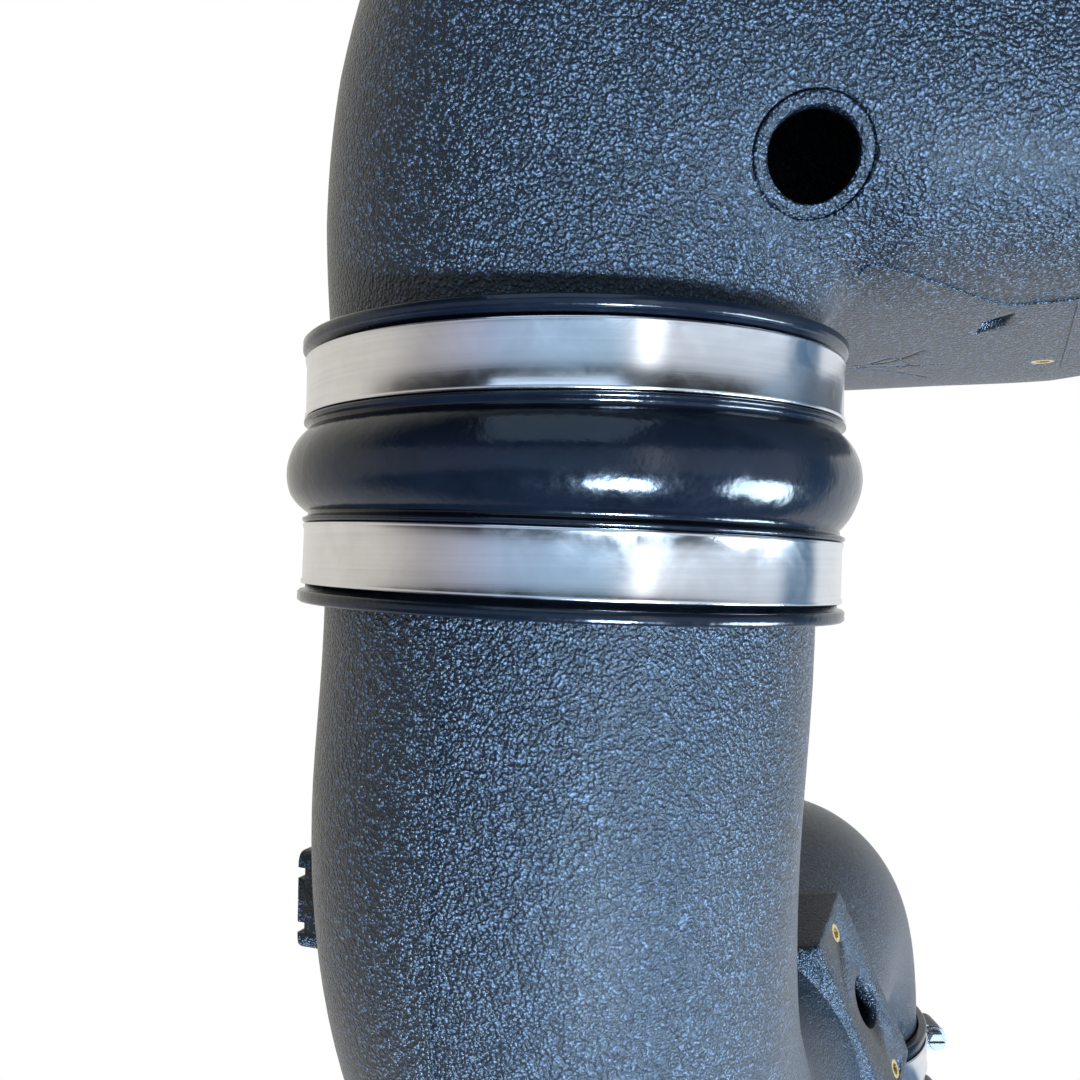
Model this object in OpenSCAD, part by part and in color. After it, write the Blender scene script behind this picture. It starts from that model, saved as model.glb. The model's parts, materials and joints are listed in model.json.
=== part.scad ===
// Cold air intake: an upper duct, a hump coupler, a bent lower pipe and an outlet hose,
// held together by four worm-drive band clamps. Millimetres, +Z up.
// The origin is the centre of the outlet hose's open end.

/* [Pipe] */
// Outer radius of the moulded pipe ends
pipe_r = 62.4; // [56:0.1:70]
// Wall of the rotationally moulded ducts
wall = 4; // [3:0.5:6]
// Outer radius of the round inlet collar
inlet_r = 76.2; // [68:0.1:84]
// Length of the round inlet collar
inlet_len = 42; // [30:1:60]

/* [Hump coupler] */
// Half of the coupler's length
coupler_half = 33; // [31:0.5:40]
// Rubber wall under the clamps
rubber_wall = 5; // [4:0.5:7]
// How far the hump stands above the clamp seat
hump_rise = 5.3; // [3:0.1:9]
// Half of the hump's width
hump_half = 11; // [9:0.5:12]
// How far an end lip stands above the clamp seat
lip_rise = 1.8; // [0.5:0.1:3]
// Angle by which the lower cuff gives way
cuff_tilt = 1.5; // [0:0.1:3]

/* [Outlet hose] */
// Length of the outlet hose
hose_len = 60; // [56:1:80]
// Rubber wall of the outlet hose
hose_wall = 4.2; // [3:0.1:6]
// How much wider the free end's bore is than the pipe, on the radius
outlet_bore_room = 1.1; // [0.1:0.1:2]
// How far the hose's end lips stand above the clamp seat
hose_lip_rise = 0.7; // [0.3:0.1:2]
// How far the pipe goes into the outlet hose
hose_grip = 30; // [25:1:40]

/* [Clamps] */
// Width of a clamp band
band_w = 14.7; // [12:0.1:16]
// Thickness of a clamp band
band_t = 0.8; // [0.6:0.1:1.2]
// Centre of each hump clamp above or below the hump
hump_clamp_z = 21.2; // [20:0.1:24]
// Length of the outlet hose that is not between its two clamps
outlet_clamp_ends = 27.5; // [26:0.5:30]
// Angle covered by the band's tail past the screw housing
tail_angle = 34; // [20:1:60]
// Length of a screw housing along the band
housing_len = 15; // [12:0.5:18]
// Outer radius of a screw housing
housing_r = 6.4; // [5.5:0.1:7.5]
// Radius of the worm screw over its thread
worm_r = 4; // [3:0.1:4.5]
// Radius of the screw's collar
collar_r = 5.8; // [5:0.1:7]
// Hex size of the screw head across its corners
hex_d = 9.2; // [8:0.1:11]

/* [Sensor pad] */
// Length of the flat pad round the pipe
pad_len = 75; // [70:1:80]
// Width of the flat pad along the pipe
pad_w = 42; // [34:1:50]
// Height of the pad's face above the pipe's side
pad_rise = 2.5; // [1:0.5:6]
// Radius of the airflow sensor's hole
maf_r = 10; // [7:0.5:13]
// Distance between the two threaded inserts
insert_pitch = 60; // [50:1:64]
// Distance from the elbow's corner back to the pad's centre
pad_back = 139.3; // [125:0.1:150]
// Angle of the pad above level
pad_roll = 20; // [0:1:40]

/* [Brass inserts] */
// Outer radius of an insert
insert_r = 3.4; // [2.8:0.1:4.5]
// Radius of an insert's threaded bore
insert_bore_r = 2.1; // [1.2:0.1:2.4]
// Length of an insert
insert_len = 9; // [6:0.5:10]

/* [Sensor port] */
// Radius of the port in the upper duct's front
port_r = 9.4; // [6:0.1:11]
// Radius of the flat ring round the port
port_ring_r = 12.2; // [11.8:0.1:16]
// Depth of the port's boss
port_depth = 13; // [12:0.5:16]
// Chamfer at the inner end of the port
port_chamfer = 0.5; // [0.3:0.1:1.5]

/* [Mounting lug] */
// Height of the lug on the lower pipe
lug_h = 27; // [20:1:40]
// Width of the lug
lug_w = 15; // [12:1:20]
// How far the lug stands out of the pipe
lug_out = 9; // [7:0.5:14]
// Width of the notch across the lug
lug_notch = 3; // [1:0.5:5]

/* [Hidden] */
$fn = 96;

// Everything is laid out from the hump's centre, with +Z up through the upper duct's neck.
pipe_in = pipe_r - wall;
seat_r = pipe_r + rubber_wall;
hose_seat_r = pipe_r + hose_wall;
up = [0, 0, 1];

// The lower cuff turns about the hump's lower groove.
pivot = [0, 0, -hump_half];
cuff_dir = [-sin(cuff_tilt), 0, -cos(cuff_tilt)];

// Corners of the lower pipe's centre line, with the bend radius at each.
pipe_gap = 3;
outlet_xy = [128.7, 300];
elbow_z = -176.5;
hose_top_z = -255.5;
outlet_z = hose_top_z - hose_len;
pipe_end_z = hose_top_z - hose_grip;
corners = [pivot + pipe_gap * cuff_dir,
    pivot + 37 * cuff_dir,
    [-6.4, 1.5, -128.4],
    [32.7, 103.8, -236.8],
    [outlet_xy[0], outlet_xy[1], elbow_z],
    [outlet_xy[0], outlet_xy[1], pipe_end_z]];
elbow_room = 1.6;
bend_r = [0, 400, 132, 120, pipe_r + elbow_room, 0];
outlet = [outlet_xy[0], outlet_xy[1], outlet_z];

function unit(v) = v / norm(v);
function leg(i) = unit(corners[i + 1] - corners[i]);
function bend_angle(i) = acos(leg(i - 1) * leg(i));
function bend_reach(i) = i == 0 || i == len(corners) - 1 ? 0 : bend_r[i] * tan(bend_angle(i) / 2);

// A unit cylinder's frame: the third axis along dir.
module aim(at, dir) {
    translate(at) rotate([0, acos(dir[2]), atan2(dir[1], dir[0])]) children();
}

// A frame with its X, Y and Z axes along three given unit vectors.
module frame(at, x, y, z) {
    multmatrix([[x[0], y[0], z[0], at[0]], [x[1], y[1], z[1], at[1]], [x[2], y[2], z[2], at[2]]])
        children();
}

// A solid disc between two heights.
module disc(r, z0, z1) {
    translate([0, 0, z0]) cylinder(h = z1 - z0, r = r);
}

// A closed solid through a list of rings.
module skin(list) {
    m = len(list);
    n = len(list[0]);
    points = [for (r = list) each r];
    sides = [for (i = [0 : m - 2], j = [0 : n - 1]) let (k = (j + 1) % n)
        each [[i * n + j, i * n + k, (i + 1) * n + k], [i * n + j, (i + 1) * n + k, (i + 1) * n + j]]];
    first = [for (j = [n - 1 : -1 : 0]) j];
    last = [for (j = [0 : n - 1]) (m - 1) * n + j];
    polyhedron(points, concat(sides, [first], [last]));
}

// The bends of the centre line, swept as rings whose start point is carried along untwisted.
// Swept and lofted walls stand proud by step of the true cylinders that they meet.
pipe_points = 48;
step = 0.3;
bend_step = 9;
function inward(i) = unit(leg(i) - leg(i - 1) * (leg(i - 1) * leg(i)));
function outward(i, a) = leg(i - 1) * sin(a) - inward(i) * cos(a);
function carried(i, a) = let (p = i == 1 ? unit(cross([0, 1, 0], leg(0))) : carried(i - 1, bend_angle(i - 1)),
    b = cross(leg(i - 1), inward(i))) (p * outward(i, 0)) * outward(i, a) + (p * b) * b;
function bend_ring(i, a, r) = let (t = leg(i - 1) * cos(a) + inward(i) * sin(a),
    p = carried(i, a), q = cross(p, t),
    at = corners[i] - leg(i - 1) * bend_reach(i) + bend_r[i] * (inward(i) + outward(i, a)))
    [for (k = [0 : pipe_points - 1]) let (w = 360 * k / pipe_points) at + r * (cos(w) * p + sin(w) * q)];
function bend_rings(r) = [for (i = [1 : len(corners) - 2]) let (n = ceil(bend_angle(i) / bend_step))
    for (s = [0 : n]) bend_ring(i, bend_angle(i) * s / n, r)];

// The straight after corner i as a round bar, lengthened by extra at the centre line's ends.
module leg_bar(i, r, extra) {
    head = i == 0 ? extra : 0;
    tail = i == len(corners) - 2 ? extra : 0;
    from = corners[i] + leg(i) * (bend_reach(i) - head);
    to = corners[i + 1] - leg(i) * (bend_reach(i + 1) - tail);
    aim(from, leg(i)) cylinder(h = norm(to - from), r = r);
}

// The sensor pad's frame: X along the pipe, Y round it, Z out of its face.
pad_leg = leg(3);
pad_side = unit(cross(pad_leg, up));
pad_out = cos(pad_roll) * pad_side + sin(pad_roll) * unit(cross(pad_side, pad_leg));
pad_round = cross(pad_out, pad_leg);
pad_axis = corners[4] - pad_back * pad_leg;

module on_pad() {
    frame(pad_axis + pad_out * (pipe_r + pad_rise), pad_leg, pad_round, pad_out) children();
}

// A slab with four round corners, from z = -depth to z = 0.
module round_slab(w, l, depth, corner) {
    translate([0, 0, -depth]) linear_extrude(depth) {
        square([w - 2 * corner, l], center = true);
        square([w, l - 2 * corner], center = true);
        for (x = [-1, 1], y = [-1, 1])
            translate([x * (w / 2 - corner), y * (l / 2 - corner)]) circle(corner);
    }
}

// The mounting lug's frame on the back left of the lower pipe: Z out of the pipe.
lug_az = 158;
lug_z = -116;
lug_axis = [-5.6, 1.3, lug_z];
lug_dir = [cos(lug_az), sin(lug_az), 0];

module on_lug() {
    frame(lug_axis + lug_dir * pipe_r, cross(up, lug_dir), up, lug_dir) children();
}

mid_r = (pipe_r + pipe_in) / 2;
pad_depth = pipe_r + pad_rise - sqrt(mid_r * mid_r - pad_len * pad_len / 4);

module lower_pipe() {
    color("#2b3442") difference() {
        union() {
            leg_bar(0, pipe_r, 0);
            skin(bend_rings(pipe_r + step));
            leg_bar(len(corners) - 2, pipe_r, 0);
            on_pad() round_slab(pad_w, pad_len, pad_depth, 4);
            on_lug() translate([0, 0, lug_out]) round_slab(lug_w, lug_h, lug_out + 0.7 * wall, 3);
        }
        leg_bar(0, pipe_in, 1);
        skin(bend_rings(pipe_in + step));
        leg_bar(len(corners) - 2, pipe_in, 1);
        on_pad() {
            translate([0, 0, -pad_depth - wall]) cylinder(h = pad_depth + wall + 1, r = maf_r);
            for (s = [-1, 1])
                translate([0, s * insert_pitch / 2, -insert_len]) cylinder(h = insert_len + 1, r = insert_r);
        }
        on_lug() {
            translate([0, 0, lug_out - insert_len]) cylinder(h = insert_len + 1, r = insert_r);
            for (s = [-1, 1]) translate([-lug_w, s * lug_notch_y - lug_notch / 2, lug_out - 2.5])
                cube([2 * lug_w, lug_notch, 5]);
        }
    }
}
lug_notch_y = lug_h / 2 - 6;

// One brass insert along +Z, from z = -length to z = 0.
module insert(length) {
    color("#c8a850") translate([0, 0, -length]) difference() {
        cylinder(h = length, r = insert_r);
        translate([0, 0, 1]) cylinder(h = length, r = insert_bore_r);
    }
}

module sensor_insert(side) {
    on_pad() translate([0, side * insert_pitch / 2, 0]) insert(insert_len);
}

module lug_insert() {
    on_lug() translate([0, 0, lug_out]) insert(insert_len);
}

// Upper duct. Its sections fan out from the neck about a level line beside the neck's top,
// then run level towards the inlet collar. Each row holds the turn in degrees (or the reach
// along X past the fan), the section's low and high Y, its low and high distance from the
// line, and how square it is: 2 is round.
fan_x = pipe_r + 7.6;
neck_top = 34;
duct_floor = 10;
inlet_y = 20;
inlet_z = neck_top + duct_floor + 4 + inlet_r;
inlet_lo = inlet_z - inlet_r - neck_top;
turn_rows = [
    [0, -pipe_r - step, pipe_r + step, 7.6 - step, 7.6 + 2 * pipe_r + step, 2],
    [12, -63.5, 68, 7.6, 137, 2.1],
    [26, -65, 84, 8, 146, 2.4],
    [42, -67.5, 112, 8.6, 158, 3],
    [58, -70, 142, 9.3, 170, 3.8],
    [74, -72.5, 164, 9.8, 180, 4.8],
    [90, -74, 176, duct_floor, 186, 5.6]];
run_rows = [
    [30, -75, 175, duct_floor, 188, 6],
    [66, -76, 158, duct_floor, 188, 6],
    [102, -76, 140, duct_floor, 187, 6],
    [118, -73, 116, duct_floor + 1, 182, 5],
    [136, -66, 103, duct_floor + 3, 174, 3.2],
    [154, inlet_y - inlet_r - step, inlet_y + inlet_r + step,
        inlet_lo - step, inlet_lo + 2 * inlet_r + step, 2]];
run_end = run_rows[len(run_rows) - 1][0];
rows = [for (r = turn_rows) [r, 0], for (r = run_rows) [r, 1]];
ring_points = 44;
steps = 2;

// A smooth value between row i and the next, through the rows either side.
function spline(a, b, c, d, t) = b + t / 2 * (c - a + t * (2 * a - 5 * b + 4 * c - d
    + t * (3 * (b - c) + d - a)));
function row_at(i, t) = let (n = len(rows) - 1, p = rows[max(i - 1, 0)][0], q = rows[i][0],
    r = rows[min(i + 1, n)][0], s = rows[min(i + 2, n)][0])
    [for (k = [1 : 5]) spline(p[k], q[k], r[k], s[k], t)];
// The turn and the reach of a section: the last turn row is reach 0.
function turn_of(i, t) = let (a = rows[i], b = rows[min(i + 1, len(rows) - 1)])
    a[1] == 1 ? 90 : b[1] == 1 ? 90 : a[0][0] + t * (b[0][0] - a[0][0]);
function reach_of(i, t) = let (a = rows[i], b = rows[min(i + 1, len(rows) - 1)],
    ra = a[1] == 1 ? a[0][0] : 0, rb = b[1] == 1 ? b[0][0] : 0) ra + t * (rb - ra);

function power(v, e) = sign(v) * pow(abs(v), e);
// One section's ring, drawn in by inset all round.
function ring(i, t, inset) = let (v = row_at(i, t), turn = turn_of(i, t), reach = reach_of(i, t),
    yc = (v[0] + v[1]) / 2, yh = (v[1] - v[0]) / 2 - inset,
    rc = (v[2] + v[3]) / 2, rh = (v[3] - v[2]) / 2 - inset)
    [for (k = [0 : ring_points - 1]) let (a = 360 * (k + 0.5) / ring_points,
        y = yc + yh * power(sin(a), 2 / v[4]), r = rc + rh * power(cos(a), 2 / v[4]))
        [fan_x + reach - r * cos(turn), y, neck_top + r * sin(turn)]];
function rings(inset) = [for (i = [0 : len(rows) - 2], s = [0 : steps - 1]) ring(i, s / steps, inset),
    ring(len(rows) - 1, 0, inset)];

inlet_x = fan_x + run_end;
port_at = [46.5, -64.5, 63];
port_dir = unit([-0.12, -0.95, -0.22]);
neck_end = 14;
stay_at = [150, 60, neck_top + duct_floor];
stay_boss_r = 9;

module upper_duct() {
    color("#2b3442") difference() {
        union() {
            translate([0, 0, neck_end]) cylinder(h = neck_top - neck_end, r = pipe_r);
            skin(rings(0));
            translate([inlet_x, inlet_y, inlet_z]) rotate([0, 90, 0]) cylinder(h = inlet_len, r = inlet_r);
        }
        translate([0, 0, neck_end - 1]) cylinder(h = neck_top - neck_end + 1, r = pipe_in);
        difference() {
            skin(rings(wall));
            aim(port_at - port_dir * port_depth, port_dir) cylinder(h = port_depth, r = port_ring_r + wall);
            translate(stay_at) cylinder(h = insert_len + wall, r = stay_boss_r);
        }
        translate([inlet_x, inlet_y, inlet_z]) rotate([0, 90, 0])
            cylinder(h = inlet_len + 1, r = inlet_r - wall);
        aim(port_at - port_dir * (port_depth + 30), port_dir) cylinder(h = port_depth + 50, r = port_r);
        aim(port_at, port_dir) cylinder(h = 20, r = port_ring_r);
        aim(port_at - port_dir * (port_depth + 1), port_dir)
            cylinder(h = port_chamfer + 1, r1 = port_r + port_chamfer + 1, r2 = port_r);
        translate(stay_at - [0, 0, 5]) cylinder(h = insert_len + 5, r = insert_r);
    }
}

module stay_insert() {
    translate(stay_at) mirror([0, 0, 1]) insert(insert_len);
}

// A ring's outline between two heights, from radius a to radius b.
module ring_profile(a, b, z0, z1) {
    translate([a, z0]) square([b - a, z1 - z0]);
}

hump_r = (hump_half * hump_half + hump_rise * hump_rise) / (2 * hump_rise);
ridge_h = 1.2;
ridge_rise = 1.3;
band_gap = 0.15;
lip_h = coupler_half - hump_clamp_z - band_w / 2 - 1;

// The coupler's outer form from height z0 to its end, with the clamp seat, ridge and lip.
module cuff(z0) {
    ridge_top = hump_clamp_z - band_w / 2 - 0.4;
    disc(seat_r, z0, coupler_half);
    disc(seat_r + lip_rise, coupler_half - lip_h, coupler_half);
    disc(seat_r + ridge_rise, ridge_top - ridge_h, ridge_top);
}

module cuff_place() {
    translate(pivot) rotate([0, cuff_tilt, 0]) translate(-pivot) children();
}

// The hump as a ring of round section, drawn in by inset.
module hump_ring(inset) {
    rotate_extrude() translate([seat_r + hump_rise - hump_r, 0]) circle(hump_r - inset);
}

module hump_coupler() {
    color("#131a26") difference() {
        union() {
            cuff(3 - hump_half);
            hump_ring(0);
            cuff_place() mirror([0, 0, 1]) cuff(4 - hump_half);
        }
        disc(pipe_r, -2, coupler_half + 1);
        hump_ring(rubber_wall);
        cuff_place() disc(pipe_r, -coupler_half - 1, 0.5);
    }
}

hose_lip_h = 3.5;
lead_in = 0.6;

module outlet_hose() {
    color("#131a26") translate(outlet) difference() {
        union() {
            disc(hose_seat_r, 0, hose_len);
            disc(hose_seat_r + hose_lip_rise, 0, hose_lip_h);
            disc(hose_seat_r + hose_lip_rise, hose_len - hose_lip_h, hose_len);
        }
        disc(pipe_r, 1, hose_len + 1);
        disc(pipe_r + outlet_bore_room, -1, hose_len - hose_grip - 1);
        disc(pipe_r + lead_in, hose_len - hose_lip_h - 2.5, hose_len + 1);
    }
}

// A worm-drive clamp round +Z, its screw housing on +X. seat is the hose's radius.
rolled = 0.35;

module clamp_band(seat) {
    inner = seat + band_gap;
    tail_in = inner + band_t;
    color("#c9cdd2") {
        rotate_extrude() {
            ring_profile(inner, inner + band_t, -band_w / 2, band_w / 2);
            for (s = [-1, 1]) translate([0, s * (band_w / 2 - 0.5)])
                ring_profile(inner + band_t - 0.1, inner + band_t + rolled, -0.5, 0.5);
        }
        rotate([0, 0, -tail_angle / 3]) rotate_extrude(angle = tail_angle)
            ring_profile(tail_in - 0.1, tail_in + band_t, -band_w / 2 + 1.2, band_w / 2 - 1.2);
    }
}

screw_clear = 0.15;
function worm_at(seat) = seat + band_gap + 2 * band_t + 0.5 + worm_r;

// Moves to a clamp's worm axis: Z along the screw, towards its head.
module on_worm(seat) {
    translate([worm_at(seat), 0, 0]) rotate([90, 0, 0]) children();
}

module clamp_housing(seat) {
    foot_r = seat + band_gap + 2 * band_t + 0.05;
    color("#c9cdd2") difference() {
        on_worm(seat) translate([0, 0, -housing_len / 2]) {
            cylinder(h = housing_len, r = housing_r);
            translate([-housing_r - 1, -housing_r, 0])
                cube([housing_r + 1, 2 * housing_r, housing_len]);
        }
        on_worm(seat) translate([0, 0, -housing_len])
            cylinder(h = 2 * housing_len, r = worm_r + screw_clear);
        translate([0, 0, -band_w]) cylinder(h = 2 * band_w, r = foot_r);
        on_worm(seat) translate([-housing_r - 2, -worm_r, -housing_len / 2 + 2])
            cube([housing_r + 2, 2 * worm_r, housing_len - 4]);
    }
}

thread_pitch = 1.6;
thread_depth = 0.55;
thread_turns = floor((housing_len - 1) / thread_pitch);
collar_t = 1.2;
hex_h = 5;

module clamp_screw(seat) {
    root = worm_r - thread_depth;
    half = housing_len / 2;
    color("#e4e7ea") on_worm(seat) {
        rotate_extrude() polygon(concat([[0, -half], [root, -half]],
            [for (i = [0 : thread_turns - 1]) each let (z = -half + 0.4 + i * thread_pitch)
                [[root, z], [worm_r, z + 0.5], [worm_r, z + 0.8], [root, z + 1.3]]],
            [[root, half + 0.3], [0, half + 0.3]]));
        translate([0, 0, half + 0.2]) cylinder(h = collar_t, r = collar_r);
        translate([0, 0, half + 0.2 + collar_t]) difference() {
            cylinder(h = hex_h, d = hex_d, $fn = 6);
            translate([-hex_d, -0.6, hex_h - 1.8]) cube([2 * hex_d, 1.2, 2]);
        }
    }
}

// Places of the four clamps: two on the hump coupler, two on the outlet hose.
hump_seat = seat_r;
housing_az_a = 96;
housing_az_b = 84;
housing_az_out = 2;
outlet_clamp_z = hose_len - hose_lip_h - 2.7 - band_w / 2;

module place_a() {
    translate([0, 0, hump_clamp_z]) rotate([0, 0, housing_az_a]) children();
}
module place_b() {
    cuff_place() translate([0, 0, -hump_clamp_z]) rotate([0, 0, housing_az_b]) children();
}
module place_c() {
    translate(outlet + [0, 0, outlet_clamp_z]) rotate([0, 0, housing_az_out]) children();
}
module place_d() {
    translate([0, 0, outlet_clamp_ends - hose_len]) place_c() children();
}

// From the hump's centre to the outlet's.
module placed() {
    translate(-outlet) children();
}

placed() upper_duct();
placed() hump_coupler();
placed() lower_pipe();
placed() outlet_hose();
placed() place_a() clamp_band(hump_seat);  // clamp_a_band
placed() place_a() clamp_housing(hump_seat);  // clamp_a_housing
placed() place_a() clamp_screw(hump_seat);  // clamp_a_screw
placed() place_b() clamp_band(hump_seat);  // clamp_b_band
placed() place_b() clamp_housing(hump_seat);  // clamp_b_housing
placed() place_b() clamp_screw(hump_seat);  // clamp_b_screw
placed() place_c() clamp_band(hose_seat_r);  // clamp_c_band
placed() place_c() clamp_housing(hose_seat_r);  // clamp_c_housing
placed() place_c() clamp_screw(hose_seat_r);  // clamp_c_screw
placed() place_d() clamp_band(hose_seat_r);  // clamp_d_band
placed() place_d() clamp_housing(hose_seat_r);  // clamp_d_housing
placed() place_d() clamp_screw(hose_seat_r);  // clamp_d_screw
placed() sensor_insert(-1);  // sensor_insert_upper
placed() sensor_insert(1);  // sensor_insert_lower
placed() lug_insert();
placed() stay_insert();
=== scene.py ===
import json
import math

import bmesh
import bpy
from mathutils import Matrix, Vector
from mathutils.bvhtree import BVHTree


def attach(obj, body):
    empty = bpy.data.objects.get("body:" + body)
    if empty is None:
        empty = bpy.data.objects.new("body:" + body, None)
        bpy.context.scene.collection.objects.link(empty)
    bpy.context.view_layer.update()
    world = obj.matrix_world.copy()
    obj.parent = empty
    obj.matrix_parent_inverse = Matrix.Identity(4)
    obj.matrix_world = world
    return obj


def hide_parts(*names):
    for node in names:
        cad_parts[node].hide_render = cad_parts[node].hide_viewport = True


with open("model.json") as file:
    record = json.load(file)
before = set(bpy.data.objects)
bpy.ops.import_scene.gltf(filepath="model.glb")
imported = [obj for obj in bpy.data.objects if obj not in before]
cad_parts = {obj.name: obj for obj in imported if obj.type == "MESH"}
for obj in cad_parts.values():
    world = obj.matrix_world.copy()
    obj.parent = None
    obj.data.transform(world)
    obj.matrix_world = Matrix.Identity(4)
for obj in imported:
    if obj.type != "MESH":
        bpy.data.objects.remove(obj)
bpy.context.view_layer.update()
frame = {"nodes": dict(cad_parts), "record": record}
nodes = frame["nodes"]
MM = 0.001

# The part's own layout: everything is worked out from the hump's centre, then moved to the
# outlet's open end, as in the part's source.
OUTLET_XY = (128.7, 300.0)
OUTLET = Vector((*OUTLET_XY, -315.5))
PIPE_R = 62.4
WALL = 4.0
RUBBER_WALL = 5.0
SEAT_R = PIPE_R + RUBBER_WALL
COUPLER_HALF = 33.0
HUMP_HALF = 11.0
HUMP_RISE = 5.3
CUFF_TILT = 1.5
HOSE_SEAT_R = 66.6
HOSE_LEN = 60.0
HOSE_GRIP = 30.0
BAND_W = 14.7
BAND_T = 0.8
BAND_GAP = 0.15
INSERT_HOLE_R = 3.45


def row(p):
    """A point laid out from the hump's centre, in millimetres, in the row frame's metres."""
    return (Vector(p) - OUTLET) * MM


# ---------------------------------------------------------------- materials


class Graph:
    """Short names for building one node tree."""

    def __init__(self, tree):
        self.tree = tree
        self.tree.nodes.clear()

    def node(self, kind, **props):
        n = self.tree.nodes.new(kind)
        for k, v in props.items():
            setattr(n, k, v)
        return n

    def link(self, a, b):
        self.tree.links.new(a, b)

    def put(self, socket, value):
        if isinstance(value, bpy.types.NodeSocket):
            self.link(value, socket)
        else:
            socket.default_value = value

    def math(self, op, a, b=0.0):
        n = self.node("ShaderNodeMath", operation=op)
        self.put(n.inputs[0], a)
        self.put(n.inputs[1], b)
        return n.outputs[0]

    def noise(self, at, scale, detail=2.0, rough=0.5, distortion=0.0, out="Fac"):
        n = self.node("ShaderNodeTexNoise")
        self.link(at, n.inputs["Vector"])
        n.inputs["Scale"].default_value = scale
        n.inputs["Detail"].default_value = detail
        n.inputs["Roughness"].default_value = rough
        n.inputs["Distortion"].default_value = distortion
        return n.outputs[out]

    def ramp(self, fac, stops):
        """Colours or greys at places from 0 to 1, with straight steps between."""
        n = self.node("ShaderNodeValToRGB")
        e = n.color_ramp.elements
        while len(e) > 1:
            e.remove(e[-1])
        e[0].position, e[0].color = stops[0][0], self.rgba(stops[0][1])
        for pos, col in stops[1:]:
            e.new(pos).color = self.rgba(col)
        self.link(fac, n.inputs[0])
        return n.outputs[0]

    @staticmethod
    def rgba(c):
        return (c, c, c, 1.0) if isinstance(c, (int, float)) else (*c, 1.0)

    def mix(self, fac, a, b, blend="MIX"):
        n = self.node("ShaderNodeMix", data_type="RGBA", blend_type=blend)
        self.put(n.inputs[0], fac)
        for socket, c in ((n.inputs[6], a), (n.inputs[7], b)):
            self.put(socket, c if isinstance(c, bpy.types.NodeSocket) else self.rgba(c))
        return n.outputs[2]

    def bump(self, height, distance, strength, normal=None):
        n = self.node("ShaderNodeBump")
        n.inputs["Strength"].default_value = strength
        n.inputs["Distance"].default_value = distance
        self.link(height, n.inputs["Height"])
        if normal:
            self.link(normal, n.inputs["Normal"])
        return n.outputs["Normal"]

    def scaled(self, at, s):
        n = self.node("ShaderNodeVectorMath", operation="MULTIPLY")
        self.link(at, n.inputs[0])
        n.inputs[1].default_value = s
        return n.outputs[0]


def material(name):
    """A new material with its graph, its shader and its object coordinates."""
    m = bpy.data.materials.new(name)
    m.use_nodes = True
    g = Graph(m.node_tree)
    out = g.node("ShaderNodeOutputMaterial")
    b = g.node("ShaderNodeBsdfPrincipled")
    g.link(b.outputs[0], out.inputs[0])
    at = g.node("ShaderNodeTexCoord").outputs["Object"]
    return m, g, b, at


def grained_plastic():
    """Rotationally moulded polyethylene: a hard pebble grain whose tops catch the light."""
    m, g, b, at = material("grained_plastic")
    wobble = g.noise(at, 520.0, out="Color")
    warped = g.node("ShaderNodeVectorMath", operation="ADD")
    g.link(at, warped.inputs[0])
    g.link(g.scaled(wobble, (0.0011, 0.0011, 0.0011)), warped.inputs[1])
    cells = g.node("ShaderNodeTexVoronoi", feature="SMOOTH_F1")
    g.link(warped.outputs[0], cells.inputs["Vector"])
    cells.inputs["Scale"].default_value = 1150.0
    cells.inputs["Smoothness"].default_value = 0.35
    fine = g.noise(at, 2600.0, 3.0, 0.6)
    coarse = g.noise(at, 520.0, 3.0, 0.6)
    height = g.math("ADD", g.math("MULTIPLY", cells.outputs["Distance"], -1.0),
                    g.math("ADD", g.math("MULTIPLY", fine, 0.5), g.math("MULTIPLY", coarse, 0.9)))
    normal = g.bump(height, 0.00062, 1.0)
    # Painted shade in the pits and painted highlight on the tops: the colour follows the grain's height,
    # so that the grain shows at a distance too
    colour = g.ramp(height, [(0.20, (0.0010, 0.0018, 0.0038)), (0.34, (0.0036, 0.0062, 0.0118)),
                             (0.56, (0.0480, 0.0660, 0.0980))])
    g.link(colour, b.inputs["Base Color"])
    g.link(g.ramp(fine, [(0.3, 0.24), (0.7, 0.34)]), b.inputs["Roughness"])
    b.inputs["Specular IOR Level"].default_value = 0.36
    b.inputs["Specular Tint"].default_value = (0.66, 0.84, 1.0, 1.0)
    g.link(normal, b.inputs["Normal"])
    b.inputs["Coat Weight"].default_value = 0.10
    b.inputs["Coat Roughness"].default_value = 0.5
    b.inputs["Coat IOR"].default_value = 1.36
    return m


def glossy_rubber():
    """Smooth black rubber with a soft sheen, duller where dust lies."""
    m, g, b, at = material("glossy_rubber")
    soft = g.noise(at, 55.0, 4.0, 0.55)
    fine = g.noise(at, 900.0, 2.0, 0.5)
    dust = g.noise(at, 210.0, 5.0, 0.7)
    colour = g.ramp(soft, [(0.3, (0.0012, 0.0020, 0.0040)), (0.75, (0.0024, 0.0038, 0.0070))])
    g.link(colour, b.inputs["Base Color"])
    g.link(g.ramp(dust, [(0.35, 0.12), (0.72, 0.24)]), b.inputs["Roughness"])
    b.inputs["Specular IOR Level"].default_value = 0.36
    b.inputs["Specular Tint"].default_value = (0.82, 0.9, 1.0, 1.0)
    first = g.bump(soft, 0.0012, 0.35)
    g.link(g.bump(fine, 0.00006, 0.5, first), b.inputs["Normal"])
    return m


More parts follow.
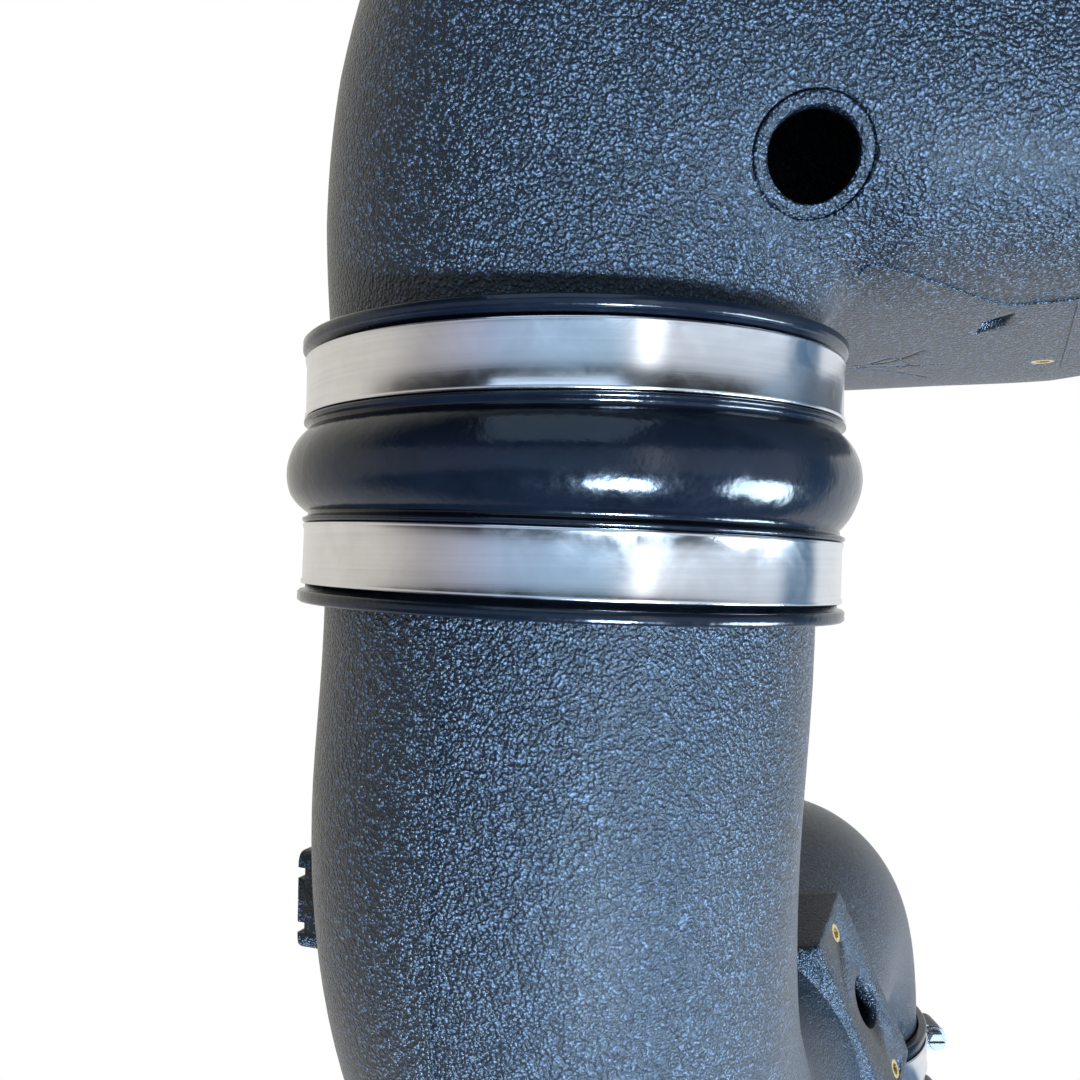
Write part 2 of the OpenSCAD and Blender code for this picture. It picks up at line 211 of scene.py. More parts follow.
def band_steel():
    """Cold-rolled stainless strip: streaks along the strip and faint stains."""
    m, g, b, at = material("band_steel")
    streak = g.noise(g.scaled(at, (9.0, 9.0, 900.0)), 1.0, 4.0, 0.6)
    blot = g.noise(at, 85.0, 5.0, 0.65, 0.8)
    mark = g.noise(g.scaled(at, (60.0, 60.0, 1500.0)), 1.0, 2.0, 0.5)
    tone = g.mix(0.5, g.ramp(blot, [(0.3, (0.55, 0.55, 0.57)), (0.62, (0.67, 0.67, 0.69))]),
                 g.ramp(streak, [(0.3, (0.58, 0.59, 0.61)), (0.7, (0.71, 0.71, 0.72))]))
    g.link(tone, b.inputs["Base Color"])
    b.inputs["Metallic"].default_value = 1.0
    g.link(g.ramp(blot, [(0.35, 0.13), (0.7, 0.25)]), b.inputs["Roughness"])
    first = g.bump(streak, 0.00002, 0.4)
    g.link(g.bump(mark, 0.00001, 0.4, first), b.inputs["Normal"])
    return m


def screw_steel():
    """Dull plated steel, which stays grey where a lamp meets it."""
    m, g, b, at = material("screw_steel")
    blot = g.noise(at, 400.0, 3.0, 0.6)
    colour = g.ramp(blot, [(0.3, (0.100, 0.104, 0.112)), (0.7, (0.150, 0.152, 0.160))])
    g.link(colour, b.inputs["Base Color"])
    b.inputs["Metallic"].default_value = 0.0
    b.inputs["Specular IOR Level"].default_value = 0.15
    g.link(g.ramp(blot, [(0.3, 0.34), (0.7, 0.46)]), b.inputs["Roughness"])
    return m


def insert_brass():
    """Brass with a faintly blotched tone."""
    m, g, b, at = material("insert_brass")
    blot = g.noise(at, 900.0, 3.0, 0.6)
    g.link(g.ramp(blot, [(0.3, (0.60, 0.43, 0.16)), (0.7, (0.84, 0.68, 0.36))]), b.inputs["Base Color"])
    b.inputs["Metallic"].default_value = 1.0
    g.link(g.ramp(blot, [(0.3, 0.22), (0.7, 0.38)]), b.inputs["Roughness"])
    return m


LOOKS = {
    "duct_plastic": grained_plastic(),
    "hose_rubber": glossy_rubber(),
    "band_steel": band_steel(),
    "screw_steel": screw_steel(),
    "insert_brass": insert_brass(),
}
slots = {s["node"]: s["material_slot"] for s in frame["record"]["subparts"]}
for name, o in nodes.items():
    o.data.materials.clear()
    # The housings are as dull as their screws.
    o.data.materials.append(LOOKS["screw_steel" if name.endswith("_housing") else slots[name]])
    for p in o.data.polygons:
        p.use_smooth = True

# ---------------------------------------------------------------- shapes


def mesh_object(name, points, faces, look=None, replaces=()):
    """A piece from points laid out from the hump's centre; without a look it is a cutter."""
    mesh = bpy.data.meshes.new(name)
    mesh.from_pydata([row(p) for p in points], [], faces)
    mesh.validate()
    bm = bmesh.new()
    bm.from_mesh(mesh)
    bmesh.ops.recalc_face_normals(bm, faces=bm.faces)
    for f in bm.faces:
        f.smooth = True
    bm.to_mesh(mesh)
    bm.free()
    o = bpy.data.objects.new(name, mesh)
    bpy.context.scene.collection.objects.link(o)
    if look:
        mesh.materials.append(LOOKS[look])
        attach(o, "root")
    if replaces:
        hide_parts(*replaces)
    return o


def grid_faces(rows, n, closed_rows=False):
    """Quads between rings of n points each."""
    out = []
    for i in range(rows if closed_rows else rows - 1):
        k = (i + 1) % rows
        for j in range(n):
            m = (j + 1) % n
            out.append((i * n + j, i * n + m, k * n + m, k * n + j))
    return out


def capped(rings):
    """Points and faces of a solid through rings, closed at both ends."""
    n = len(rings[0])
    points = [p for r in rings for p in r]
    faces = grid_faces(len(rings), n)
    faces.append(tuple(range(n)))
    faces.append(tuple(range((len(rings) - 1) * n, len(rings) * n)))
    return points, faces


def revolve(profile, place, n):
    """Turns a closed (radius, height) profile round the local Z axis."""
    points = []
    for i in range(n):
        a = 2 * math.pi * i / n
        points += [place @ Vector((r * math.cos(a), r * math.sin(a), z)) for r, z in profile]
    return points, grid_faces(n, len(profile), closed_rows=True)


def rounded(corners, r, steps):
    """A closed profile with its corners rounded; r is one radius or one for each corner."""
    out, n = [], len(corners)
    for i, c in enumerate(corners):
        rad = r[i] if isinstance(r, (list, tuple)) else r
        c = Vector(c)
        a = Vector(corners[i - 1]) - c
        b = Vector(corners[(i + 1) % n]) - c
        d = min(rad, a.length * 0.48, b.length * 0.48)
        if d <= 0:
            out.append(tuple(c))
            continue
        p, q = c + a.normalized() * d, c + b.normalized() * d
        for k in range(steps + 1):
            t = k / steps
            out.append(tuple(p * (1 - t) ** 2 + c * 2 * t * (1 - t) + q * t * t))
    return out


def cut_by(o, cutters):
    """Takes cutters out of o for good and removes them."""
    for c in cutters:
        m = o.modifiers.new("cut", "BOOLEAN")
        m.operation = "DIFFERENCE"
        m.solver = "EXACT"
        m.object = c
        made = bpy.data.meshes.new_from_object(o.evaluated_get(bpy.context.evaluated_depsgraph_get()))
        o.modifiers.clear()
        o.data = made
        bpy.data.objects.remove(c)


def cylinder(name, at, way, depth, r, n=96):
    """A plain cutter from at along way."""
    way = Vector(way).normalized()
    side = way.orthogonal().normalized()
    other = way.cross(side)
    rings = [[Vector(at) + way * h + (side * math.cos(a) + other * math.sin(a)) * r
              for a in (2 * math.pi * k / n for k in range(n))] for h in (0.0, depth)]
    return mesh_object(name, *capped(rings))


def surface(o):
    """A function that finds o's skin from a point towards a way, laid out from the hump's centre."""
    tree = BVHTree.FromObject(o, bpy.context.evaluated_depsgraph_get())

    def find(at, way):
        hit = tree.ray_cast(row(at), Vector(way).normalized())[0]
        return hit / MM + OUTLET if hit else Vector(at)

    return find


def cord(name, line, r, look=None, across=(0.1, 0.2, 1.0), n=8):
    """A thin round line through points, thinner at its ends; without a look it is a cutter."""
    rings = []
    for i, p in enumerate(line):
        t = (line[min(i + 1, len(line) - 1)] - line[max(i - 1, 0)]).normalized()
        side = t.cross(Vector(across)).normalized()
        other = t.cross(side)
        k = r if 0 < i < len(line) - 1 else r * 0.35
        rings.append([p + (side * math.cos(a) + other * math.sin(a)) * k
                      for a in (2 * math.pi * j / n for j in range(n))])
    return mesh_object(name, *capped(rings), look)


def spline(a, b, c, d, t):
    """A smooth way from b to c, with a and d as the values before and after."""
    return b + t / 2 * (c - a + t * (2 * a - 5 * b + 4 * c - d + t * (3 * (b - c) + d - a)))


# ---------------------------------------------------------------- upper duct

NECK_ENDS = (14.0, 24.0)
NECK_TOP = 34.0
TURN_IN = 7.6
FAN_X = PIPE_R + TURN_IN
FLOOR = 10.0
BOX_LEN = 154
INLET_X = FAN_X + BOX_LEN
INLET_R, INLET_Y, INLET_LEN = 76.2, 20.0, 42.0
INLET_RISE = 4
INLET_Z = NECK_TOP + FLOOR + INLET_RISE + INLET_R
INLET_LOW = INLET_Z - INLET_R - NECK_TOP
# The turn in degrees, the way past it, then the section: from and to in Y, from and to across
# the turn, and how square it is, with 2 for round.
SECTIONS = [(a, 0, v) for a, v in (
    (0, (-PIPE_R, PIPE_R, TURN_IN, TURN_IN + 2 * PIPE_R, 2)),
    (12, (-63.5, 68, TURN_IN, 137, 2.1)),
    (26, (-65, 84, 8, 146, 2.4)),
    (42, (-67.5, 112, 8.6, 158, 3)),
    (58, (-70, 142, 9.3, 170, 3.8)),
    (74, (-72.5, 164, 9.8, 180, 4.8)),
    (90, (-74, 176, FLOOR, 186, 5.6)))] + [(90, x, v) for x, v in (
        (30, (-75, 175, FLOOR, 188, 6)),
        (66, (-76, 158, FLOOR, 188, 6)),
        (102, (-76, 140, FLOOR, 187, 6)),
        (118, (-73, 116, FLOOR + 1, 182, 5)),
        (136, (-66, 103, FLOOR + 3, 174, 3.2)),
        (BOX_LEN, (INLET_Y - INLET_R, INLET_Y + INLET_R, INLET_LOW, INLET_LOW + 2 * INLET_R, 2)))]


def ring_angles(n):
    """Angles round a ring, half a step off the axes."""
    return [2 * math.pi * (k + 0.5) / n for k in range(n)]


def neck_ring(r, z, n):
    return [Vector((-r * math.cos(a), r * math.sin(a), z)) for a in ring_angles(n)]


def collar_ring(x, r, n):
    return [Vector((INLET_X + x, INLET_Y + r * math.sin(a), INLET_Z + r * math.cos(a)))
            for a in ring_angles(n)]


def duct_ring(i, t, inset, n):
    """One ring, t of the way from section i to the next, inset from the skin."""
    last = len(SECTIONS) - 1
    p, q = SECTIONS[max(i - 1, 0)][2], SECTIONS[i][2]
    r, s = SECTIONS[min(i + 1, last)][2], SECTIONS[min(i + 2, last)][2]
    v = [spline(p[k], q[k], r[k], s[k], t) for k in range(5)]
    a, b = SECTIONS[i], SECTIONS[min(i + 1, last)]
    turn = math.radians(a[0] + t * (b[0] - a[0]))
    reach = a[1] + t * (b[1] - a[1])
    yc, yh = (v[0] + v[1]) / 2, (v[1] - v[0]) / 2 - inset
    rc, rh = (v[2] + v[3]) / 2, (v[3] - v[2]) / 2 - inset
    out = []
    for ang in ring_angles(n):
        # Even spacing round a squarer section
        c, d = math.cos(ang), math.sin(ang)
        f = (abs(c) ** v[4] + abs(d) ** v[4]) ** (-1 / v[4])
        y, rr = yc + yh * d * f, rc + rh * c * f
        out.append(Vector((FAN_X + reach - rr * math.cos(turn), y, NECK_TOP + rr * math.sin(turn))))
    return out


def upper_duct():
    n, last = 300, len(SECTIONS) - 1
    outer = [neck_ring(PIPE_R, z, n) for z in NECK_ENDS]
    for i in range(last):
        # Closer rings through the turn than along the box
        fine = 10 if i < 6 else 8
        outer += [duct_ring(i, k / fine, 0.0, n) for k in range(fine)]
    outer.append(duct_ring(last, 0.0, 0.0, n))
    collar = [collar_ring(x, r, n) for x, r in (
        (6, INLET_R), (INLET_LEN - 1, INLET_R), (INLET_LEN, INLET_R - 1),
        (INLET_LEN, INLET_R - 3), (INLET_LEN - 1, INLET_R - WALL), (0, INLET_R - WALL))]
    inner = [duct_ring(last, 0.0, WALL, n)]
    for i in range(last - 1, -1, -1):
        inner += [duct_ring(i, k / 4, WALL, n) for k in (3, 2, 1, 0)]
    inner += [neck_ring(PIPE_R - WALL, z, n) for z in reversed(NECK_ENDS)]
    rings = outer + collar + inner
    points = [p for r in rings for p in r]
    faces = grid_faces(len(rings), n, closed_rows=True)
    return mesh_object("upper_duct_shell", points, faces, "duct_plastic", ("upper_duct",))


PORT_AT = Vector((46.5, -64.5, 63.0))
PORT_WAY = Vector((-0.12, -0.95, -0.22)).normalized()
PORT_SIDE = PORT_WAY.orthogonal().normalized()
PORT_CUT_R = 12.6
duct = upper_duct()
skin_at = surface(duct)


def port_ring():
    """The port's smooth ring follows the skin round it, and its bore goes straight in."""
    other, n, rings = PORT_WAY.cross(PORT_SIDE), 128, []
    # Past this radius the ring keeps the height that the skin has there.
    edge = 12.4
    for r, lift in ((13.0, -3.6), (13.0, -1.2), (12.1, -0.7), (12.1, -0.1), (11.8, 0.12), (10.3, 0.12),
                    (9.8, -0.02), (9.5, -0.3), (9.4, -0.8), (9.4, -9.0), (11.0, -9.0)):
        ring, near = [], min(r, edge)
        for k in range(n):
            a = 2 * math.pi * k / n
            out = PORT_SIDE * math.cos(a) + other * math.sin(a)
            ring.append(skin_at(PORT_AT + out * near + PORT_WAY * 20, -PORT_WAY)
                        + out * (r - near) + PORT_WAY * lift)
        rings.append(ring)
    points = [p for r in rings for p in r]
    return mesh_object("port_ring", points, grid_faces(len(rings), n, closed_rows=True), "duct_plastic")


def under(points, steps=6):
    """Points on the duct's underside, smoothed, from their places seen from below."""
    out, last = [], len(points) - 1
    for i in range(last):
        p = [points[max(i - 1, 0)], points[i], points[i + 1], points[min(i + 2, last)]]
        for k in range(steps):
            out.append([spline(*[v[c] for v in p], k / steps) for c in (0, 1)])
    out.append(points[-1])
    return [skin_at((x, y, 20.0), (0, 0, 1)) for x, y in out]


# Marks on the underside, seen from below: (x, y) from the hump's centre.
MOULD_LINE = [(64.5, -34), (66, -39), (74, -36.8), (88, -28), (104.8, -15.6), (114, -17.2), (122, -22)]
MOULD_CREASE = [(123.6, -16.7), (138.8, 18.9), (162.2, 74.3)]
WRINKLES = ([(92.4, 71.9), (102.9, 63.8), (106.9, 43.2)], [(93.6, 73.7), (108.4, 70.7), (121.3, 66.1)],
            [(93.5, 75.6), (108.2, 80.3), (126.2, 93.2)], [(97.7, 67.8), (102.2, 56.8), (111.6, 70.5)])
POCKET = [(112.4, 19.2), (108.4, 3.8), (112.2, -7.2), (115.7, 7.1)]
POCKET_Z = (40.0, 46.5)
STAY_FROM, STAY_DEPTH = (150.0, 60.0, 36.0), 17.0

port_ring()
cord("mould_line", under(MOULD_LINE), 0.32, "duct_plastic")
cord("mould_crease", under(MOULD_CREASE), 0.30, "duct_plastic")
cuts = [cylinder("hole", PORT_AT - PORT_WAY * 40, PORT_WAY, 60, PORT_CUT_R)]
cuts += [cord("wrinkle", under(line), 0.45) for line in WRINKLES]
cuts.append(mesh_object("pocket", *capped([[Vector((x, y, z)) for x, y in POCKET] for z in POCKET_Z])))
cuts.append(cylinder("stay_hole", STAY_FROM, (0, 0, 1), STAY_DEPTH, INSERT_HOLE_R, 48))
cut_by(duct, cuts)

# ---------------------------------------------------------------- lower pipe

PIVOT = Vector((0, 0, -HUMP_HALF))
CUFF_WAY = Vector((-math.sin(math.radians(CUFF_TILT)), 0, -math.cos(math.radians(CUFF_TILT))))
PIPE_GAP, CUFF_END = 3, 37
ELBOW_Z = -176.5
PIPE_END_Z = OUTLET.z + HOSE_LEN - HOSE_GRIP
# Corners of the centre line, with the bend's radius at each
CORNERS = [PIVOT + PIPE_GAP * CUFF_WAY, PIVOT + CUFF_END * CUFF_WAY, Vector((-6.4, 1.5, -128.4)),
           Vector((32.7, 103.8, -236.8)), Vector((*OUTLET_XY, ELBOW_Z)), Vector((*OUTLET_XY, PIPE_END_Z))]
BENDS = [0, 400, 132, 120, 64, 0]
STRAIGHT_STEP, BEND_STEP = 8, 2.5


def leg(i):
    return (CORNERS[i + 1] - CORNERS[i]).normalized()


def pipe_path():
    """(centre, tangent, carried side) along the centre line."""
    out = []
    side = Vector((0, 1, 0)).cross(leg(0)).normalized()
    out.append((CORNERS[0], leg(0), side))
    for i in range(1, len(CORNERS) - 1):
        a, b = leg(i - 1), leg(i)
        ang = a.angle(b)
        reach = BENDS[i] * math.tan(ang / 2)
        inward = (b - a * a.dot(b)).normalized()
        axis = a.cross(inward)
        start = CORNERS[i] - a * reach
        before = out[-1][0]
        gap = (start - before).length
        for k in range(1, int(gap / STRAIGHT_STEP)):
            out.append((before + (start - before) * k * STRAIGHT_STEP / gap, a, side))
        n = max(2, int(math.degrees(ang) / BEND_STEP))
        s0 = side
        for k in range(n + 1):
            t = ang * k / n
            m = Matrix.Rotation(t, 3, axis)
            centre = start + inward * BENDS[i] - BENDS[i] * (m @ inward)
            out.append((centre, m @ a, m @ s0))
        side = out[-1][2]
    out.append((CORNERS[-1], leg(len(CORNERS) - 2), side))
    return out


def lower_pipe():
    n = 192
    path = pipe_path()

    def ring(p, r):
        c, t, s = p
        q = t.cross(s)
        return [c + r * (s * math.cos(a) + q * math.sin(a))
                for a in (2 * math.pi * k / n for k in range(n))]

    rings = [ring(p, PIPE_R) for p in path] + [ring(p, PIPE_R - WALL) for p in reversed(path)]
    points = [p for r in rings for p in r]
    return mesh_object("lower_pipe_shell", points, grid_faces(len(rings), n, closed_rows=True),
                       "duct_plastic", ("lower_pipe",))


PARTING_TURN = math.radians(-64)
PARTING_PROUD = 0.02


def parting_line():
    """The mould's parting line, a hair proud of the pipe."""
    a, r = PARTING_TURN, PIPE_R + PARTING_PROUD
    return cord("parting_line", [c + r * (q * math.cos(a) + t.cross(q) * math.sin(a))
                                 for c, t, q in pipe_path()[4:]], 0.22, "duct_plastic", (1, 0, 0))


pipe = lower_pipe()
parting_line()

PAD_LEG = leg(3)
PAD_SIDE = PAD_LEG.cross(Vector((0, 0, 1))).normalized()
PAD_ROLL = math.radians(20)
PAD_OUT = math.cos(PAD_ROLL) * PAD_SIDE + math.sin(PAD_ROLL) * PAD_SIDE.cross(PAD_LEG).normalized()
PAD_ROUND = PAD_OUT.cross(PAD_LEG)
PAD_BACK = 139.3
PAD_AXIS = CORNERS[4] - PAD_BACK * PAD_LEG
PAD_W, PAD_LEN, PAD_RISE, PAD_FLARE = 42.0, 75.0, 2.5, 1.8
PAD_HOLE_R, PAD_INSERT_Y = 10.0, 30


def pad_point(x, y, z):
    """A point on the pad: along the pipe, round it and out from the flat face."""
    return PAD_AXIS + PAD_OUT * (PIPE_R + PAD_RISE + z) + PAD_LEG * x + PAD_ROUND * y


def sensor_pad():
    """The flat pad, with soft edges and a foot that flares into the pipe."""
    outline = rounded([(-PAD_W / 2, -PAD_LEN / 2), (PAD_W / 2, -PAD_LEN / 2),
                       (PAD_W / 2, PAD_LEN / 2), (-PAD_W / 2, PAD_LEN / 2)], 4.0, 8)
    dense = []
    for i, p in enumerate(outline):
        q = outline[(i + 1) % len(outline)]
        steps = max(1, int(math.dist(p, q) / 2.0))
        dense += [(p[0] + (q[0] - p[0]) * k / steps, p[1] + (q[1] - p[1]) * k / steps)
                  for k in range(steps)]
    n = len(dense)

    def normal(i):
        a, b = dense[i - 1], dense[(i + 1) % n]
        v = Vector((b[1] - a[1], a[0] - b[0]))
        return v.normalized()

    rings = []
    for inset, z in ((1.6, 0.0), (0.9, -0.05), (0.35, -0.35), (0.0, -1.1)):
        rings.append([pad_point(p[0] - normal(i).x * inset, p[1] - normal(i).y * inset, z)
                      for i, p in enumerate(dense)])
    for t in (0.2, 0.4, 0.55, 0.7, 0.8, 0.9, 1.0):
        ring = []
        for i, p in enumerate(dense):
            v = normal(i)
            foot = (p[0] + v.x * PAD_FLARE, p[1] + v.y * PAD_FLARE)
            drop = math.sqrt(max(PIPE_R ** 2 - foot[1] ** 2, 0)) - PIPE_R - PAD_RISE - 0.3
            mid = (p[0] + v.x * 0.6, p[1] + v.y * 0.6, drop * 0.72)
            a, b, c = (1 - t) ** 2, 2 * t * (1 - t), t * t
            ring.append(pad_point(a * p[0] + b * mid[0] + c * foot[0],
                                  a * p[1] + b * mid[1] + c * foot[1],
                                  a * -1.1 + b * mid[2] + c * drop))
        rings.append(ring)
    # The last ring lies inside the pipe's wall.
    rings.append([PAD_AXIS + (q - PAD_AXIS) * 0.93 for q in rings[-1]])
    return mesh_object("sensor_pad", *capped(rings), "duct_plastic")


def pad_hole():
    return cylinder("hole", pad_point(0, 0, -30), PAD_OUT, 40, PAD_HOLE_R)


pad = sensor_pad()
cut_by(pad, [pad_hole()] + [
    cylinder("hole", pad_point(0, s * PAD_INSERT_Y, -9), PAD_OUT, 12, INSERT_HOLE_R, 48) for s in (-1, 1)])
cut_by(pipe, [pad_hole()])

LUG_TURN = math.radians(158)
LUG_DIR = Vector((math.cos(LUG_TURN), math.sin(LUG_TURN), 0))
LUG_X = Vector((0, 0, 1)).cross(LUG_DIR)
LUG_AT = Vector((-5.6, 1.3, -116)) + LUG_DIR * PIPE_R
LUG_W, LUG_H, LUG_OUT, LUG_NOTCH = 15.0, 27.0, 9.0, 3.0


def lug_point(x, y, z):
    """A point on the lug: across it, up, and out from the pipe."""
    return LUG_AT + LUG_X * x + Vector((0, 0, y)) + LUG_DIR * z


def lug():
    outline = rounded([(-LUG_W / 2, -LUG_H / 2), (LUG_W / 2, -LUG_H / 2),
                       (LUG_W / 2, LUG_H / 2), (-LUG_W / 2, LUG_H / 2)], 3.0, 8)
    rings = [[lug_point(x * k, y * k, z) for x, y in outline]
             for z, k in ((-3.0, 1.0), (LUG_OUT - 0.9, 1.0), (LUG_OUT - 0.3, 0.985), (LUG_OUT, 0.94))]
    o = mesh_object("mounting_lug", *capped(rings), "duct_plastic")
    cuts = [cylinder("hole", lug_point(0, 0, LUG_OUT - 8), LUG_DIR, 12, INSERT_HOLE_R, 48)]
    for s in (-1, 1):
        y, h = s * (LUG_H / 2 - 6), LUG_NOTCH / 2
        foot = [(-LUG_W, y - h), (LUG_W, y - h), (LUG_W, y + h), (-LUG_W, y + h)]
        cuts.append(mesh_object("notch", *capped([[lug_point(x, v, z) for x, v in foot]
                                                  for z in (LUG_OUT - 2.5, LUG_OUT + 3)])))
    cut_by(o, cuts)


lug()

# ---------------------------------------------------------------- rubber and bands

HUMP_CLAMP_Z = 21.2
OUTLET_CLAMP_Z = {"c": 46.45, "d": 13.95}


def at_hump(z):
    return Matrix.Translation((0, 0, z))


def at_outlet(z):
    return Matrix.Translation(OUTLET + Vector((0, 0, z)))


def turned(degrees):
    return Matrix.Rotation(math.radians(degrees), 4, "Z")


TILTED = (Matrix.Translation(PIVOT) @ Matrix.Rotation(math.radians(CUFF_TILT), 4, "Y")
          @ Matrix.Translation(-PIVOT))


def hump_coupler():
    """One profile of (radius, height) turned round, with its lower cuff on the tilted pipe."""
    crest = (HUMP_HALF ** 2 + HUMP_RISE ** 2) / (2 * HUMP_RISE)
    seat, bore, lip, top = SEAT_R, PIPE_R, SEAT_R + 1.8, COUPLER_HALF
    # From the top end down: the lip, the clamp's seat, the ridge and the groove beside the hump
    side = [(bore, top), (lip - 0.5, top), (lip, top - 0.5), (lip, top - 2.4), (lip - 0.5, top - 2.9),
            (seat, top - 3.1), (seat, 13.7), (seat + 1.0, 13.5), (seat + 1.3, 13.1), (seat + 1.3, 12.5),
            (seat + 0.6, 12.2), (seat + 0.1, 11.9)]

    def arc(r, half, n):
        """Points down the hump's arc."""
        turns = (half * (1 - 2 * k / n) for k in range(n + 1))
        return [(mid + r * math.cos(a), r * math.sin(a)) for a in turns]

    mid = seat + HUMP_RISE - crest
    inner = crest - RUBBER_WALL
    prof = side + arc(crest, math.asin(HUMP_HALF / crest), 24)
    prof += [(r, -z) for r, z in reversed(side)]
    prof += arc(inner, -math.acos((bore - mid) / inner), 12)
    n, points = 288, []
    for i in range(n):
        a = 2 * math.pi * i / n
        for r, z in prof:
            p = Vector((r * math.cos(a), r * math.sin(a), z))
            tilt = min(max((-z - 5.0) / 7.0, 0.0), 1.0)
            points.append(p.lerp(TILTED @ p, tilt))
    faces = grid_faces(n, len(prof), closed_rows=True)
    return mesh_object("hump_hose", points, faces, "hose_rubber", ("hump_coupler",))


def outlet_hose():
    r, lip, h = HOSE_SEAT_R, HOSE_SEAT_R + 0.7, HOSE_LEN
    free, lead_in, step = 63.5, 63.0, HOSE_LEN - HOSE_GRIP - 1
    prof = rounded([(free, 0), (lip, 0), (lip, 3.5), (r, 3.5), (r, h - 3.5), (lip, h - 3.5), (lip, h),
                    (lead_in, h), (lead_in, h - 6), (PIPE_R, h - 6), (PIPE_R, step), (free, step)],
                   [0.4, 1.0, 0.3, 0.3, 0.3, 0.3, 1.3, 0.8, 0, 0, 0, 0], 4)
    return mesh_object("outlet_hose_body", *revolve(prof, Matrix.Translation(OUTLET), 256),
                       "hose_rubber", ("outlet_hose",))


def band(key, place, seat):
    """A strip with both of its edges a little raised."""
    w, skin = BAND_W / 2, seat + BAND_T
    half = [(seat + BAND_GAP, w), (skin + 0.2, w), (skin + 0.35, w - 0.35), (skin + 0.3, w - 0.8),
            (skin, w - 1.5)]
    profile = [(r, -z) for r, z in half] + half[::-1]
    return mesh_object(f"band_{key}", *revolve(profile, place, 288), "band_steel", (f"clamp_{key}_band",))


hump_coupler()
outlet_hose()
band("a", at_hump(HUMP_CLAMP_Z) @ turned(96), SEAT_R)
band("b", TILTED @ at_hump(-HUMP_CLAMP_Z) @ turned(84), SEAT_R)
for key, z in OUTLET_CLAMP_Z.items():
    band(key, at_outlet(z) @ turned(2), HOSE_SEAT_R)

# ---------------------------------------------------------------- light and world

scene = bpy.context.scene
world = bpy.data.worlds.new("studio")
scene.world = world
world.use_nodes = True
w = Graph(world.node_tree)
w_out = w.node("ShaderNodeOutputWorld")
way = w.node("ShaderNodeTexCoord").outputs["Generated"]
xyz = w.node("ShaderNodeSeparateXYZ")
w.link(way, xyz.inputs[0])
# Turn round the vertical: 0.5 straight towards the camera's side (-Y), more to the right, round to +Y.
turn = w.math("ARCTAN2", xyz.outputs[0], w.math("MULTIPLY", xyz.outputs[1], -1.0))
turn = w.math("DIVIDE", turn, 2 * math.pi)
turn = w.math("ADD", turn, 0.5)


def az(deg):
    """The ramp's place for an angle round the vertical."""
    return 0.5 + deg / 360.0


ring = w.ramp(turn, [
    (az(-180), (0.90, 0.88, 0.84)),
    (az(-120), (0.98, 0.94, 0.86)),
    (az(-84), (0.92, 0.88, 0.80)),
    (az(-62), (0.60, 0.58, 0.58)),
    (az(-50), (0.62, 0.62, 0.72)),
    (az(-40), (0.62, 0.68, 0.90)),
    (az(-30), (0.55, 0.72, 0.98)),
    (az(0), (0.55, 0.82, 1.12)),
    (az(16), (0.62, 0.86, 1.10)),
    (az(22), (0.90, 1.02, 1.18)),
    (az(26), (3.0, 3.1, 3.2)),
    (az(30), (3.0, 3.1, 3.2)),
    (az(34), (0.92, 1.00, 1.10)),
    (az(60), (0.92, 1.02, 1.16)),
    (az(90), (0.96, 1.06, 1.20)),
    (az(97), (0.12, 0.24, 0.40)),
    (az(113), (0.14, 0.26, 0.42)),
    (az(119), (1.15, 1.22, 1.28)),
    (az(180), (0.90, 0.88, 0.84)),
])
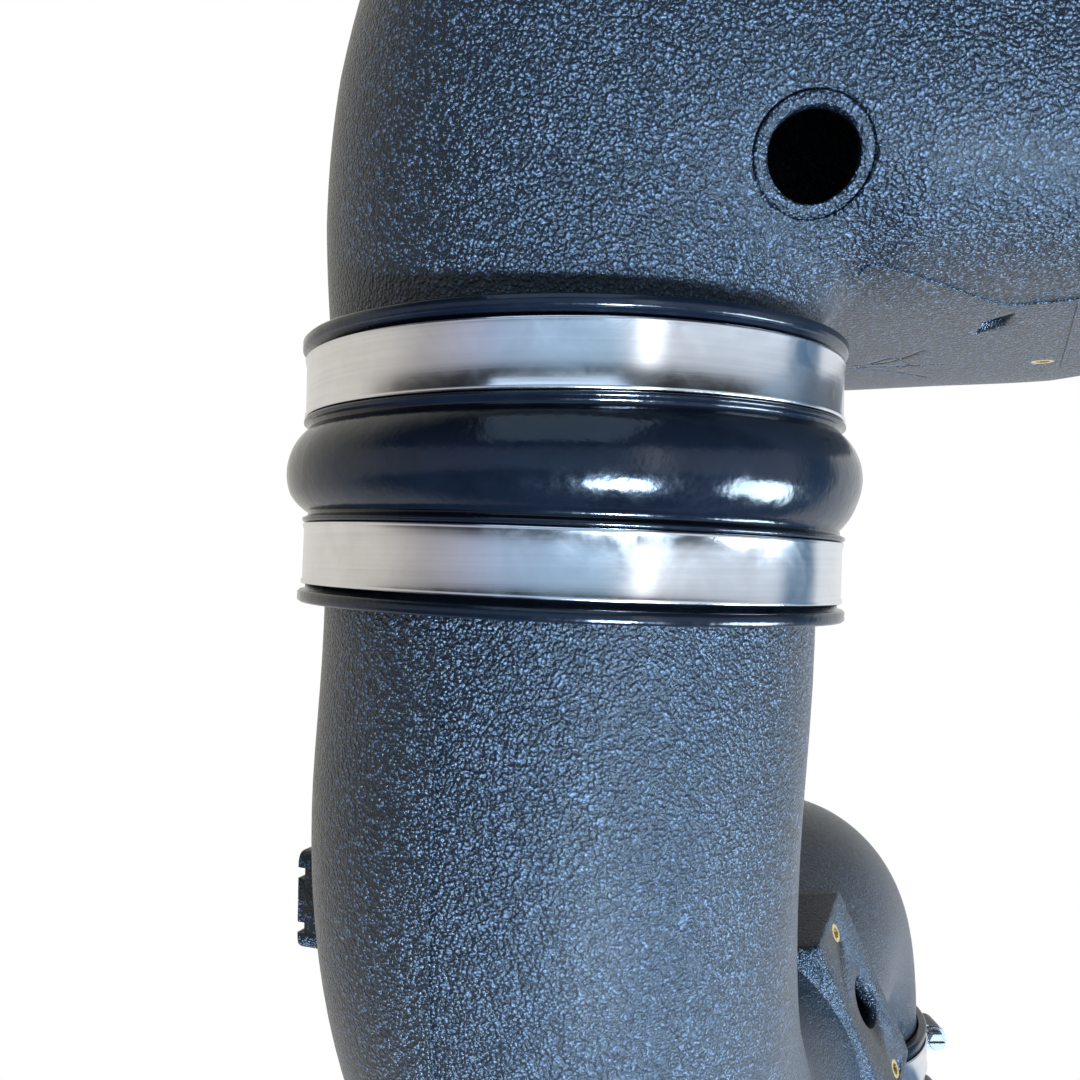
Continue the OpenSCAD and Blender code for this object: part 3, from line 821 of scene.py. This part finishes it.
# In front only the horizon is bright; behind, the white backdrop runs up and down.
high = w.ramp(w.math("MULTIPLY", w.math("ADD", xyz.outputs[2], 1.0), 0.5), [
    (0.0, 0.04), (0.33, 0.08), (0.39, 0.94), (0.5, 1.0), (0.64, 0.86), (0.70, 0.06), (1.0, 0.03)])
behind = w.ramp(w.math("MULTIPLY", w.math("ADD", xyz.outputs[1], 1.0), 0.5), [(0.42, 0.0), (0.62, 1.0)])
env = w.mix(1.0, ring, w.mix(behind, high, (1.0, 1.0, 1.0)), "MULTIPLY")
light_path = w.node("ShaderNodeLightPath")
lit = w.node("ShaderNodeBackground")
w.link(env, lit.inputs[0])
lit.inputs[1].default_value = 0.9
white = w.node("ShaderNodeBackground")
white.inputs[0].default_value = (1.0, 1.0, 1.0, 1.0)
white.inputs[1].default_value = 1.0
pick = w.node("ShaderNodeMixShader")
w.link(light_path.outputs["Is Camera Ray"], pick.inputs[0])
w.link(lit.outputs[0], pick.inputs[1])
w.link(white.outputs[0], pick.inputs[2])
w.link(pick.outputs[0], w_out.inputs[0])


def soft_light(name, at, aim, size, power, colour):
    """A soft rectangular lamp; at is in metres from the hump, aim in millimetres from it."""
    d = bpy.data.lights.new(name, "AREA")
    d.shape = "RECTANGLE"
    d.size, d.size_y = size
    d.energy = power
    d.color = colour
    o = bpy.data.objects.new(name, d)
    scene.collection.objects.link(o)
    o.location = row((0, 0, 0)) + Vector(at)
    o.rotation_euler = (row(aim) - o.location).to_track_quat("-Z", "Y").to_euler()


# The light comes from below and from the right, as the hump's highlights and the lips' shadows show.
soft_light("lamp_main", (0.317, -0.974, -0.80), (10, -60, 40), (0.20, 0.15), 120.0, (0.62, 0.80, 1.0))
soft_light("lamp_side", (0.93, -0.22, -0.48), (0, 0, 0), (0.46, 0.30), 20.0, (0.68, 0.85, 1.0))
soft_light("lamp_high", (-0.10, -0.80, 1.10), (60, -60, 120), (1.2, 1.2), 7.0, (0.62, 0.80, 1.0))

# ---------------------------------------------------------------- camera

# Fitted to the photograph: millimetres from the hump's centre, degrees, and a 36 mm wide sensor
CAMERA_AT = (-8.519, -286.72, -19.971)
CAMERA_TURN = (90.923, -0.732, -0.061)
CAMERA_LENS = 36.667
cam_data = bpy.data.cameras.new("camera")
cam_data.sensor_width = 36.0
cam_data.lens = CAMERA_LENS
cam_data.clip_start = 0.01
cam = bpy.data.objects.new("camera", cam_data)
scene.collection.objects.link(cam)
cam.location = row(CAMERA_AT)
cam.rotation_euler = [math.radians(a) for a in CAMERA_TURN]
scene.camera = cam
scene.view_settings.view_transform = "Standard"
